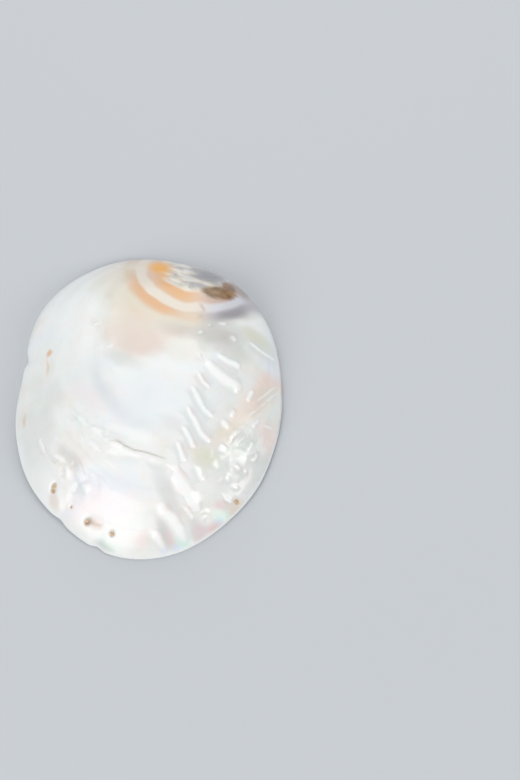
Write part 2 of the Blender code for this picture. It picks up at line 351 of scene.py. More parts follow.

# Soft patches of colour on the outer face: a plan point and two half widths in millimetres, the
# turn of the patch in degrees, its colour and how much of it shows. The ones in shade grey, and
# the broad soft-grey ones, paint shade; the highlight-white ones paint highlights, and some mint
# and sky ones paint iridescent glints.
PATCHES = [
    ((-10.0, 44.0), (18, 30), 8, CREAM, 0.95),
    ((-4.0, 47.0), (10, 22), 12, BEIGE, 0.6),
    ((10.0, 31.0), (24, 10), -25, BEIGE, 0.65),
    ((-2.0, 21.0), (21, 12), -20, PEACH, 0.7),
    ((-1.0, 19.0), (11, 8), -20, PEACH, 0.6),
    ((18.0, 16.0), (12, 7), -20, PALE_CREAM, 0.8),
    ((31.0, 25.0), (19, 9), -5, SAND, 0.8),
    # Painted shade over the right side and among the lumps
    ((42.0, -12.0), (22, 36), -12, SOFT_GREY_AND_SHADE, 0.45),
    ((42.0, -34.0), (20, 24), -20, SHADE_GREY, 0.5),
    ((13.0, 26.0), (10, 6), -20, SAND, 0.4),
    ((58.0, 25.0), (5, 14), 0, SKY_WHITE, 0.8),
    # Painted shade along the left margin
    ((-50.0, -14.0), (10, 28), -4, SOFT_GREY_AND_SHADE, 0.75),
    ((-50.0, -2.5), (4.6, 9.0), 0, MINT_WHITE, 0.4),
    # Painted shadow inside the left margin
    ((-40.5, -2.0), (4.0, 9.0), 15, SHADE_GREY, 0.25),
    ((-27.0, -5.0), (13, 5.5), -50, ROSE_SILVER, 0.6),
    ((-11.5, 11.0), (9, 4), -25, SAND, 0.4),
    # Painted highlight over the upper left
    ((-33.0, 36.0), (16, 22), 20, HIGHLIGHT_WHITE, 0.6),
    ((37.0, 18.0), (12, 6), -25, SAND, 0.45),
    ((3.0, -8.0), (26, 18), -25, BLUE_WHITE, 0.9),
    # Painted highlight on the shelf above the crack
    ((-5.0, -25.5), (13, 3.5), -20, HIGHLIGHT_WHITE, 0.7),
    ((-9.0, 9.0), (10, 4), -20, SOFT_GREY_AND_SHADE, 0.5),
    ((12.0, -21.0), (7, 4), -25, SOFT_GREY_AND_SHADE, 0.5),
    ((-25.0, -46.0), (12, 6), -35, LILAC_WHITE, 0.9),
    # Painted shade by the creases
    ((-33.0, -33.0), (10, 3), -50, SHADE_GREY, 0.5),
    ((-13.0, -46.0), (16, 5), -10, SKY_WHITE, 0.6),
    ((-20.0, -54.0), (24, 6), 0, ROSE, 0.5),
    # The shade-grey patches below paint shade in the troughs between the wide folds and at the
    # lower rim
    ((9.8, -50.5), (4.6, 13), 25, SHADE_GREY, 0.5),
    ((9.3, -66.0), (2.6, 8), 28, SHADE_GREY, 0.8),
    ((12.2, -68.0), (2.0, 6), 28, DUSKY_PINK, 0.7),
    ((23.5, -64.0), (4, 8), 38, SHADE_GREY, 0.6),
    ((24.0, -65.0), (4, 5), 0, DUSKY_PINK, 0.6),
    ((-1.0, -69.0), (5, 4), 0, PINK, 0.4),
    ((-18.5, -71.0), (6, 3), -25, SHADE_GREY, 0.9),
    ((-17.0, -69.5), (8, 3), -30, MINT, 0.25),
    # Mint and sky spots at the fold ends: painted iridescent glints
    ((16.8, -68.4), (4.4, 3), -40, MINT, 1.0),
    ((14.8, -71.2), (3.4, 2.2), -30, SKY, 0.8),
    ((8.6, -72.0), (2.4, 3.4), 20, SKY, 0.7),
    ((7.2, -69.6), (1.6, 2.4), 20, MINT, 0.6),
    ((46.5, -8.0), (27, 5.5), 54, PEACH_WHITE, 0.9),
    ((50.0, -3.0), (13, 4.5), 56, PEACH, 0.6),
    ((56.0, 9.0), (8, 5), 60, PINK, 0.8),
    ((36.0, -22.0), (9, 5), 40, CREAM, 0.8),
    ((55.0, -19.0), (6, 8), 0, SALMON, 0.7),
    ((49.5, 27.0), (9, 5), -20, LEMON, 0.8),
    ((56.0, 15.0), (5, 7), 30, SKY_WHITE, 0.8),
    ((-45.6, 19.8), (1.5, 2.2), 0, PALE_ORANGE, 0.9),
    ((-46.0, 13.0), (0.7, 5), 4, PALE_ORANGE, 0.45),
    ((26.0, -34.5), (8, 6), -10, LEMON, 0.8),
    # Mint and sky spots: painted iridescent glints
    ((31.9, -57.0), (3.4, 3.4), 40, PALE_MINT, 0.6),
    ((35.0, -56.2), (3.6, 2.2), 40, PALE_MINT, 0.9),
    ((32.4, -58.8), (2.6, 1.8), 30, SKY, 0.7),
    ((34.0, -51.4), (5, 2.6), 20, DUSKY_PINK, 0.9),
    ((40.0, -52.6), (6, 3.6), 45, BEIGE, 0.7),
    ((30.5, -61.6), (6, 2.6), 32, DUSKY_PINK, 0.9),
    ((-55.5, -11.0), (0.9, 3.4), 0, HONEY, 0.6),
    # Painted shadow below the first worm hole, and a painted shadow trough beside the third
    ((-41.0, -49.0), (2.6, 5), 15, PEACH, 0.6),
    ((-22.3, -61.8), (4.6, 2.6), -25, PEACH, 1.0),
    ((-24.6, -60.6), (2.6, 2.0), 0, TAUPE, 0.35),
]

# A patch up to this half width in millimetres sways a little, and a larger one a lot
SMALL_PATCH = 13
SMALL_SWAY = 4 * MM
LARGE_SWAY = 14 * MM

# The side that a slope's painted shade and tint are reckoned from: a flank turned that way is
# painted greyer, as if turned from the key light
TILT_WAY = (0.86, 0.5, 0.0)

# The painted shade along the edge of the smooth blue-white area: an arc round a plan point, at a
# distance from it, with a half width, in millimetres, and the oval that the arc lies in
ARC_CENTRE = (20.0, 22.0)
ARC_REACH = 47.0
ARC_WIDTH = 3.2
ARC_OVAL = ((-12, -10), (26, 24), 0)


def through_samples(samples, turns):
    """The smooth closed curve through evenly spaced samples, read at each turn from 0 to 1."""
    waves = np.fft.rfft(samples) / len(samples)
    value = np.full(np.shape(turns), waves[0].real)
    for order, wave in enumerate(waves[1:], 1):
        share = 1 if 2 * order == len(samples) else 2
        value = value + share * (wave * np.exp(2j * math.pi * order * turns)).real
    return value


def turned(bearing, middle):
    """The angle from middle to bearing, between minus and plus half a turn."""
    return (bearing - middle + math.pi) % (2 * math.pi) - math.pi


def bump(distance, spread):
    """1 at no distance, falling smoothly on both sides."""
    return np.exp(-((distance / spread) ** 2))


def length_of(vectors):
    return np.hypot(*vectors.T)


def run_along(points):
    """How far along a line each of its points is."""
    return np.concatenate([[0], np.cumsum(length_of(np.diff(points, axis=0)))])


def bearing_of(plan):
    return np.arctan2(plan[:, 1], plan[:, 0])


def rim_reach(bearing, nicks):
    """Distance of the rim from the origin at each bearing."""
    whole = through_samples(RIM_RADII, bearing / (2 * math.pi))
    reach = whole
    for degrees, depth, half_width in nicks:
        along = turned(bearing, math.radians(degrees)) * whole
        reach = reach - depth * bump(along, half_width)
    return reach


def lip_width(bearing):
    """Width of the lip's underside, which spreads into the hinge plate."""
    spread = bump(turned(bearing, HINGE_BEARING), HINGE_SPREAD)
    return LIP_WIDTH + (HINGE_PLATE_WIDTH - LIP_WIDTH) * spread


def no_inset(bearing):
    return np.zeros(np.shape(bearing))


def rim_line(inset=no_inset, nicks=RIM_NICKS):
    """Plan points round the rim, each moved in towards the origin by its inset."""
    bearing = np.arange(RIM_CORNERS) * 2 * math.pi / RIM_CORNERS
    reach = rim_reach(bearing, nicks) - inset(bearing)
    return np.stack([reach * np.cos(bearing), reach * np.sin(bearing)], axis=1)


def moved_in(rim, inset):
    away = length_of(rim)
    return rim * ((away - inset) / away)[:, None]


def rim_lift(bearing):
    wave = (1 - np.cos(3 * (bearing - STAND_BEARING))) / 2
    return np.maximum(0, wave * (RIM_LIFT + RIM_STAND) - RIM_STAND)


def reach_from(centre, plan, rim):
    """Distance of each plan point from centre, and that of the rim on the same bearing."""
    spokes = rim - centre
    spokes = spokes[np.argsort(bearing_of(spokes))]
    away = plan - centre
    reach = np.interp(
        bearing_of(away), bearing_of(spokes), length_of(spokes), period=2 * math.pi
    )
    return length_of(away), reach


def share_of_reach(plan, inset=no_inset):
    """Distance from the crown as a share of the rim's. The nicks are felt near the rim alone."""
    away, nicked = reach_from(CROWN, plan, rim_line(inset))
    _, whole = reach_from(CROWN, plan, rim_line(inset, nicks=[]))
    nearness = np.minimum(away / nicked, 1) ** NICK_FADE
    return np.minimum(away / (whole + (nicked - whole) * nearness), 1)


def dome(plan, share, height, base):
    """Height of the smooth dome, which falls from height at the crown to base at the rim."""
    bearing_to_beak = math.atan2(*(BEAK - CROWN)[::-1])
    flank = bump(turned(bearing_of(plan - CROWN), bearing_to_beak), BEAK_FLANK_SPREAD)
    foot = FOOT_AT_BELLY + (FOOT_AT_BEAK - FOOT_AT_BELLY) * flank
    rise = (height - base) * (1 - share**SHOULDER) ** foot
    swell = BEAK_SWELL * bump(length_of(plan - BEAK), BEAK_SPREAD) * (1 - share**SWELL_FADE)
    return base + rise + swell + rim_lift(bearing_of(plan)) * share**LIFT_FADE


def offset_from_line(plan, line):
    """Distance of each plan point from a line in millimetres, and the side: 1 is its left."""
    line = np.array(line) * MM
    nearest = np.full(len(plan), np.inf)
    side = np.ones(len(plan))
    for start, end in zip(line[:-1], line[1:]):
        way = end - start
        along = np.clip((plan - start) @ way / (way @ way), 0, 1)
        gap = plan - start - along[:, None] * way
        distance = length_of(gap)
        closer = distance < nearest
        left = np.sign(way[0] * gap[:, 1] - way[1] * gap[:, 0])
        side = np.where(closer, left, side)
        nearest = np.where(closer, distance, nearest)
    return nearest, side


def growth(plan):
    """Where each plan point lies in the valve's growth: its bearing from the beak, as a cosine
    and a sine, its age, from 0 at the beak to 1 at the rim, and the length that its bearing
    grew to, as a share of the longest."""
    away, reach = reach_from(BEAK, plan, rim_line(nicks=[]))
    bearing = bearing_of(plan - BEAK)
    where = np.stack([np.cos(bearing), np.sin(bearing), np.minimum(away / reach, 1)], axis=1)
    return where, reach / reach.max()


def smooth_step(value, start, end):
    share = np.clip((value - start) / (end - start), 0, 1)
    return share * share * (3 - 2 * share)


def oval(plan, place, half_widths, turn):
    """1 inside an oval, falling smoothly to 0 outside it."""
    away = plan / MM - place
    way = np.array([math.cos(math.radians(turn)), math.sin(math.radians(turn))])
    along = away @ way / half_widths[0]
    across = away @ (-way[1], way[0]) / half_widths[1]
    return smooth_step(np.hypot(along, across), *OVAL_EDGE)


def crack_line(plan):
    """How far each plan point is from the crack, on which side, and how open the crack is."""
    distance, side = offset_from_line(plan, CRACK)
    ends = np.abs(plan[:, 0] - 0.5 * (CRACK[0][0] + CRACK[-1][0]) * MM)
    half_length = 0.5 * (CRACK[-1][0] - CRACK[0][0]) * MM
    openness = np.clip(CRACK_OPENNESS - (ends / half_length) ** CRACK_CLOSING, 0, 1)
    return distance, side, openness


def growth_stops(plan):
    """Height of the crack's edges and of the furrow."""
    distance, side, strength = crack_line(plan)
    offset = side * distance
    shelf = CRACK_SHELF * np.exp(-distance / CRACK_SHELF_SPREAD) * (side > 0)
    lip = CRACK_LIP * bump(offset + CRACK_LIP_AT, CRACK_LIP_SPREAD)
    crack = shelf + lip - CRACK_DEPTH * bump(distance, CRACK_HALF_WIDTH)
    furrow, _ = offset_from_line(plan, FURROW)
    return strength * crack - FURROW_DEPTH * bump(furrow, FURROW_HALF_WIDTH)


def outer_height(plan):
    """Height of the outer face without its crests, whose relief dies away at the lip."""
    share = share_of_reach(plan)
    height = growth_stops(plan)
    for place, radius in WORM_HOLES:
        away = length_of(plan - np.array(place) * MM)
        depth = WORM_HOLE_DEPTH * min(1, radius / MM)
        height -= depth / (1 + (away / radius) ** WORM_HOLE_STEEPNESS)
    where, reach = growth(plan)
    age = where[:, 2]
    height += GROWTH_WAVE_HEIGHT * reach * age**2 * np.sin(2 * math.pi * GROWTH_WAVES * age)
    return dome(plan, share, CROWN_HEIGHT, LIP_RADIUS) + (1 - share**LIP_FADE) * height


def inner_height(plan):
    """Height of the inner face, with its blisters hanging from it."""
    share = share_of_reach(plan, lip_width)
    height = dome(plan, share, CROWN_HEIGHT - WALL_AT_CROWN, 0)
    for place, radius in BLISTERS:
        away = length_of(plan / MM - place) / radius
        drop = BLISTER_HEIGHT * np.exp(-(away**BLISTER_STEEPNESS))
        height -= drop * radius / BLISTERS[0][1]
    return height


def grid_points(spacing):
    """Plan points in rows of equal triangles over the whole valve."""
    rows = np.arange(-GRID_REACH, GRID_REACH, spacing * math.sin(math.radians(60)))
    stops = np.arange(-GRID_REACH, GRID_REACH, spacing)
    x, y = np.meshgrid(stops, rows)
    x[1::2] += spacing / 2
    return np.stack([x.ravel(), y.ravel()], axis=1)


def within(points, rim):
    """The points that lie within a rim round the origin."""
    away, reach = reach_from(np.zeros(2), points, rim)
    return points[away < reach]


def beside(line, offset, step):
    """Plan points along a line in millimetres, moved to its left by offset."""
    line = np.array(line) * MM
    run = run_along(line)
    stops = np.linspace(0, run[-1], round(run[-1] / step) + 1)
    points = np.stack([np.interp(stops, run, axis) for axis in line.T], axis=1)
    way = np.gradient(points, axis=0)
    left = np.stack([-way[:, 1], way[:, 0]], axis=1) / length_of(way)[:, None]
    return points + offset * left


class Surface:
    """Corners and triangles gathered for one mesh."""

    def __init__(self):
        self.corners = []
        self.faces = []
        self.outer = []
        self.inner = []

    def add_corners(self, plan, height, outer=0.0, inner=0.0):
        first = len(self.corners)
        self.corners += np.column_stack([plan, np.broadcast_to(height, len(plan))]).tolist()
        self.outer += np.broadcast_to(outer, len(plan)).tolist()
        self.inner += np.broadcast_to(inner, len(plan)).tolist()
        return list(range(first, len(self.corners)))

    def add_band(self, upper, lower):
        for corner in range(len(upper)):
            before = corner - 1
            self.faces.append((upper[before], lower[before], lower[corner], upper[corner]))

    def add_sheet(self, rim, plan, corners, facing_up):
        """Triangles over the rim's corners, which come first, and those inside it."""
        count = len(rim)
        edges = [(corner, (corner + 1) % count) for corner in range(count)]
        points = [Vector(point / MM) for point in plan]
        _, _, faces, sources, _, _ = delaunay_2d_cdt(points, edges, [], INSIDE_ONLY, SAME_POINT)
        for face in faces:
            loop = [corners[sources[corner][0]] for corner in face]
            self.faces.append(loop if facing_up else loop[::-1])


def face_points(rim, spacing, lines=()):
    """Plan points inside a rim: a ring, points that follow lines, and a grid clear of them."""
    ring = moved_in(rim, RIM_GAP * spacing)
    grid = within(grid_points(spacing), moved_in(rim, GRID_MARGIN * spacing))
    if not lines:
        return np.vstack([ring, grid])
    followed = np.vstack(lines)
    near = grid[:, None, 0] - followed[None, :, 0], grid[:, None, 1] - followed[None, :, 1]
    grid = grid[np.hypot(*near).min(axis=1) > LEAST_GAP * spacing]
    return np.vstack([ring, followed, grid])


def valve_mesh():
    """The valve's closed wall, with what its relief follows kept on its corners."""
    surface = Surface()
    outer_rim, inner_rim = rim_line(), rim_line(lip_width)
    loops = []
    for turn in np.linspace(0, math.pi / 2, LIP_STEPS):
        plan = moved_in(outer_rim, LIP_RADIUS * (1 - math.cos(turn)))
        lift = rim_lift(bearing_of(plan))
        loops.append(surface.add_corners(plan, LIP_RADIUS * (1 - math.sin(turn)) + lift))
    lowest = moved_in(outer_rim, LIP_RADIUS)
    for share in np.linspace(0, 1, UNDERSIDE_STEPS + 1)[1:]:
        plan = lowest + (inner_rim - lowest) * share
        loops.append(surface.add_corners(plan, rim_lift(bearing_of(plan))))
    for upper, lower in zip(loops[:-1], loops[1:]):
        surface.add_band(upper, lower)

    crack = [beside(CRACK, offset * MM, CRACK_STEP) for offset in CRACK_ROWS]
    plan = face_points(outer_rim, OUTER_SPACING, crack)
    corners = surface.add_corners(
        plan, outer_height(plan), outer=1 - share_of_reach(plan) ** LIP_FADE
    )
    surface.add_sheet(outer_rim, np.vstack([outer_rim, plan]), loops[0] + corners, True)

    plan = face_points(inner_rim, INNER_SPACING)
    corners = surface.add_corners(
        plan, inner_height(plan), inner=1 - share_of_reach(plan, lip_width) ** LIP_FADE
    )
    surface.add_sheet(inner_rim, np.vstack([inner_rim, plan]), loops[-1] + corners, False)

    mesh = bpy.data.meshes.new("nacre valve")
    mesh.from_pydata(surface.corners, [], surface.faces)
    plan = np.array(surface.corners)[:, :2]
    where, reach = growth(plan)
    distance, _, strength = crack_line(plan)
    for name, values in (
        ("outer", surface.outer), ("inner", surface.inner), ("reach", reach),
        ("edge", share_of_reach(plan)),
        ("lumpy", oval(plan, *LUMPY_OVAL)), ("creased", oval(plan, *CREASED_OVAL)),
        ("ribbed", oval(plan, *RIBBED_OVAL)),
        ("scar", np.clip(oval(plan, *SCAR_OVALS[0]) - oval(plan, *SCAR_OVALS[1]), 0, 1)),
        # Where the material paints shade in the crack
        ("crack", strength * bump(distance, 2 * CRACK_HALF_WIDTH)),
        ("worn", smooth_step(length_of(plan / MM - RING_CENTRE), *WORN_REACH[::-1])),
    ):
        mesh.attributes.new(name, "FLOAT", "POINT").data.foreach_set("value", values)
    stored = mesh.attributes.new("growth", "FLOAT_VECTOR", "POINT")
    stored.data.foreach_set("vector", where.ravel())
    mesh.shade_smooth()
    return mesh


def crest_mesh():
    """The crests as lines of points on the outer face, each with its height and half width."""
    points, edges, heights, widths = [], [], [], []
    for line, height, half_width in FOLDS + LUMPS + CREASES:
        plan = beside(line, 0.0, CREST_STEP)
        first = len(points)
        points += np.column_stack([plan, outer_height(plan)]).tolist()
        edges += [(index, index + 1) for index in range(first, len(points) - 1)]
        run = run_along(plan)
        start = run / max(CREST_END, CREST_START * run[-1])
        end = (run[-1] - run) / max(CREST_END, CREST_ROUNDING * half_width * MM)
        taper = np.clip(np.minimum(start, end), 0, 1)
        heights += (height * MM * smooth_step(taper, 0, 1)).tolist()
        width = CREST_LEAST_WIDTH + (1 - CREST_LEAST_WIDTH) * taper
        widths += (half_width * MM * width).tolist()
    mesh = bpy.data.meshes.new("crest lines")
    mesh.from_pydata(points, edges, [])
    mesh.attributes.new("height", "FLOAT", "POINT").data.foreach_set("value", heights)
    mesh.attributes.new("half_width", "FLOAT", "POINT").data.foreach_set("value", widths)
    return mesh


class Socket:
    """A node's output. Python's operators on it add Math nodes."""

    def __init__(self, graph, end):
        self.graph = graph
        self.end = end

    def maths(self, operation, *values):
        return self.graph.add("ShaderNodeMath", {"operation": operation}, dict(enumerate(values)))

    def __add__(self, other):
        return self.maths("ADD", self, other)

    def __radd__(self, other):
        return self.maths("ADD", other, self)

    def __sub__(self, other):
        return self.maths("SUBTRACT", self, other)

    def __rsub__(self, other):
        return self.maths("SUBTRACT", other, self)

    def __mul__(self, other):
        return self.maths("MULTIPLY", self, other)

    def __rmul__(self, other):
        return self.maths("MULTIPLY", other, self)

    def __truediv__(self, other):
        return self.maths("DIVIDE", self, other)

    def __rtruediv__(self, other):
        return self.maths("DIVIDE", other, self)

    def __pow__(self, other):
        return self.maths("POWER", self, other)

    def __rpow__(self, other):
        return self.maths("POWER", other, self)

    def __neg__(self):
        return self.maths("MULTIPLY", self, -1.0)


class Graph:
    """A node tree, for a material or a shape, and the one way to add nodes to it."""

    ROW_LENGTH = 12
    NODE_ROOM = (200, 260)

    def __init__(self, tree):
        self.tree = tree

    def add(self, kind, settings=None, sockets=None, output=None):
        """A node with its settings, then its sockets' values or links, by name or number."""
        node = self.tree.nodes.new(kind)
        row, place = divmod(len(self.tree.nodes), self.ROW_LENGTH)
        node.location = (place * self.NODE_ROOM[0], -row * self.NODE_ROOM[1])
        for name, value in (settings or {}).items():
            if name == "stops":
                self.place_stops(node.color_ramp, value)
            else:
                setattr(node, name, value)
        for key, value in (sockets or {}).items():
            ends = [end for end in node.inputs if end.enabled and end.name == key]
            end = node.inputs[key] if isinstance(key, int) else ends[0]
            if isinstance(value, Socket):
                self.tree.links.new(value.end, end)
            else:
                end.default_value = value
        ends = [end for end in node.outputs if end.enabled and output in (None, end.name)]
        return Socket(self, ends[0]) if ends else node

    @staticmethod
    def place_stops(ramp, stops):
        while len(ramp.elements) < len(stops):
            ramp.elements.new(1.0)
        for element, (position, colour) in zip(ramp.elements, stops):
            element.position = position
            element.color = colour

    def attribute(self, name, output="Fac"):
        return self.add("ShaderNodeAttribute", {"attribute_name": name}, output=output)

    def field(self, name, kind="FLOAT"):
        return self.add("GeometryNodeInputNamedAttribute", {"data_type": kind}, {"Name": name})

    def vector(self, operation, *values, output=None):
        sockets = dict(enumerate(values))
        if operation == "SCALE":
            sockets = {0: values[0], 3: values[1]}
        return self.add("ShaderNodeVectorMath", {"operation": operation}, sockets, output)

    def noise(self, where, scale, detail=2.0, rough=0.5, warp=0.0, output="Fac"):
        sockets = {
            "Vector": where, "Scale": scale, "Detail": detail, "Roughness": rough,
            "Distortion": warp,
        }
        return self.add("ShaderNodeTexNoise", None, sockets, output)

    def drawn_out(self, where, bearing, share):
        """Coordinates shrunk to a share along a bearing, so that a noise on them is drawn out."""
        along = Vector((math.cos(bearing), math.sin(bearing), 0))
        across = Vector((-along.y, along.x, 0))
        return self.add("ShaderNodeCombineXYZ", None, {
            "X": self.vector("DOT_PRODUCT", where, along, output="Value") * share,
            "Y": self.vector("DOT_PRODUCT", where, across, output="Value"),
        })

    def swayed(self, where, noise, reach):
        """Plan coordinates pushed about by a colour noise, within reach from side to side."""
        push = self.vector("SUBTRACT", noise, (0.5, 0.5, 0.5))
        return self.vector("ADD", where, self.vector("MULTIPLY", push, (reach, reach, 0)))

    def smooth(self, value, start, end):
        """0 where value is at start or before it, 1 from end on, and a smooth way between."""
        sockets = {"Value": value, "From Min": start, "From Max": end}
        return self.add("ShaderNodeMapRange", {"interpolation_type": "SMOOTHSTEP"}, sockets)

    def ramp(self, value, stops):
        return self.add("ShaderNodeValToRGB", {"stops": stops}, {"Fac": value})

    def mix(self, share, first, second, blend="MIX"):
        sockets = {"Factor": share, "A": first, "B": second}
        return self.add("ShaderNodeMix", {"data_type": "RGBA", "blend_type": blend}, sockets)


def tree_input(tree, name, kind):
    """The identifier of a new input of a tree."""
    socket = tree.interface.new_socket(name, in_out="INPUT", socket_type="NodeSocket" + kind)
    return socket.identifier


def relief_tree():
    """Geometry nodes that raise the crests, lumps and growth lines out of the smooth valve."""
    tree = bpy.data.node_groups.new("shell relief", "GeometryNodeTree")
    tree.interface.new_socket("Geometry", in_out="OUTPUT", socket_type="NodeSocketGeometry")
    inputs = {
        name: tree_input(tree, name, kind)
        for name, kind in (
            ("Geometry", "Geometry"), ("Crest Lines", "Object"), ("Crest Height", "Float"),
            ("Lump Height", "Float"), ("Lump Size", "Float"), ("Crease Height", "Float"),
            ("Crease Size", "Float"), ("Rib Height", "Float"), ("Rib Size", "Float"),
            ("Wave Height", "Float"), ("Wave Size", "Float"),
            ("Growth Line Height", "Float"), ("Worn Height", "Float"), ("Material", "Material"),
        )
    }
    graph = Graph(tree)

    def given(name):
        return graph.add("NodeGroupInput", output=name)

    def kept(geometry, name, value, kind="FLOAT"):
        settings = {"data_type": kind, "domain": "POINT"}
        sockets = {"Geometry": geometry, "Name": name, "Value": value}
        return graph.add("GeometryNodeStoreNamedAttribute", settings, sockets)

    place = graph.add("GeometryNodeInputPosition")
    outer = graph.field("outer")
    inner = graph.field("inner")
    age = graph.field("growth", "FLOAT_VECTOR")

    lines = graph.add(
        "GeometryNodeObjectInfo", None, {"Object": given("Crest Lines")}, "Geometry"
    )
    sway = graph.noise(place, 0.16 / MM, output="Color")
    sway = graph.vector("SCALE", graph.vector("SUBTRACT", sway, (0.5, 0.5, 0.5)), CREST_SWAY)
    near_lines = {"Geometry": lines, "Sample Position": graph.vector("ADD", place, sway)}
    nearest = graph.add("GeometryNodeSampleNearest", None, near_lines)

    def at_crest(name):
        sockets = {"Geometry": lines, "Value": graph.field(name), "Index": nearest}
        return graph.add("GeometryNodeSampleIndex", {"data_type": "FLOAT"}, sockets)

    distance = graph.add(
        "GeometryNodeProximity", {"target_element": "EDGES"}, near_lines, "Distance"
    )
    half_width = at_crest("half_width")
    profile = math.e ** (-((distance / half_width) ** (1.5 + half_width * 0.25 / MM)))
    crest = at_crest("height")
    crests = crest * given("Crest Height") * profile
    # Share of painted shade round each crest's foot
    foot = math.e ** (-((distance / CREST_SHADE_SPREAD) ** 2)) * graph.smooth(crest / MM, 0.1, 0.6)

    pillows = graph.noise(place, 1.0 / given("Lump Size"), 1.0, 0.5, 0.3)
    lumps = graph.smooth(pillows, 0.38, 0.68) * given("Lump Height")
    lumps = lumps * (0.06 + graph.field("lumpy"))
    grain = graph.drawn_out(place, CREASE_BEARING, 0.4)
    creases = graph.smooth(graph.noise(grain, 1.0 / given("Crease Size"), 1.0), 0.45, 0.7)
    creases = creases * given("Crease Height") * graph.field("creased")
    grain = graph.drawn_out(place, RIB_BEARING, 0.4)
    sway = (graph.noise(grain, 0.08 / MM, 2.0) - 0.5) * RIB_SWAY
    ribs = graph.add("ShaderNodeSeparateXYZ", None, {0: grain}, "Y") + sway
    ribs = ribs.maths("SINE", ribs * 2 * math.pi / given("Rib Size")) * 0.5
    ribs = ribs * given("Rib Height") * graph.field("ribbed")
    waves = (graph.noise(place, 1.0 / given("Wave Size"), 1.0) - 0.5) * given("Wave Height")
    years = graph.add("ShaderNodeSeparateXYZ", None, {0: age}, "Z")
    rings = graph.noise(graph.vector("MULTIPLY", age, RAISED_LINES), 1.0, 1.0, 0.5) - 0.5
    rings = rings * given("Growth Line Height") * graph.smooth(years, 0.35, 0.9)
    rings = rings * graph.field("reach")

    pits = graph.noise(place, 0.45 / MM, 2.0, 0.6) - 0.5
    pits = pits * graph.field("worn") * given("Worn Height")

    height = outer * (crests + lumps + creases + waves + rings + pits)
    scar = graph.field("scar") * SCAR_DEPTH
    height = height + inner * (waves * 0.5 + rings + ribs - scar)
    geometry = kept(given("Geometry"), "relief", height / MM)
    # Shares kept for the material: a painted highlight along each crest and painted shade round
    # its foot
    crest_highlight = profile * graph.smooth(crest / MM, 0.0, 0.45)
    geometry = kept(geometry, "crest", outer * crest_highlight)
    geometry = kept(geometry, "foot", outer * foot)
    normal = graph.add("GeometryNodeInputNormal")
    geometry = kept(geometry, "smooth_normal", normal, "FLOAT_VECTOR")
    raised = graph.vector("SCALE", normal, height)
    geometry = graph.add("GeometryNodeSetPosition", None, {"Geometry": geometry, "Offset": raised})
    # How far the relief turns the face, kept for painted shade on turned flanks and a painted
    # iridescent tint
    turn = graph.vector("SUBTRACT", normal, graph.field("smooth_normal", "FLOAT_VECTOR"))
    tilt = graph.vector("DOT_PRODUCT", turn, TILT_WAY, output="Value")
    geometry = kept(geometry, "tilt", tilt)
    geometry = graph.add(
        "GeometryNodeRemoveAttribute", None, {"Geometry": geometry, "Name": "smooth_normal"}
    )
    geometry = graph.add("GeometryNodeRealizeInstances", None, {"Geometry": geometry})
    geometry = graph.add(
        "GeometryNodeSetMaterial", None, {"Geometry": geometry, "Material": given("Material")}
    )
    graph.add("NodeGroupOutput", None, {"Geometry": geometry})
    return tree, inputs


def plan_point(place):
    return (place[0] * MM, place[1] * MM, 0)


def patch(graph, plan, place, half_widths, turn):
    """A mask on plan coordinates: 1 in the middle of an oval, and 0 past its edge."""
    away = graph.vector("SUBTRACT", plan, plan_point(place))
    way = Vector((math.cos(math.radians(turn)), math.sin(math.radians(turn)), 0)) / MM
    aside = Vector((-way.y, way.x, 0))
    along = graph.vector("DOT_PRODUCT", away, way / half_widths[0], output="Value")
    across = graph.vector("DOT_PRODUCT", away, aside / half_widths[1], output="Value")
    return graph.smooth((along * along + across * across) ** 0.5, *PATCH_EDGE)


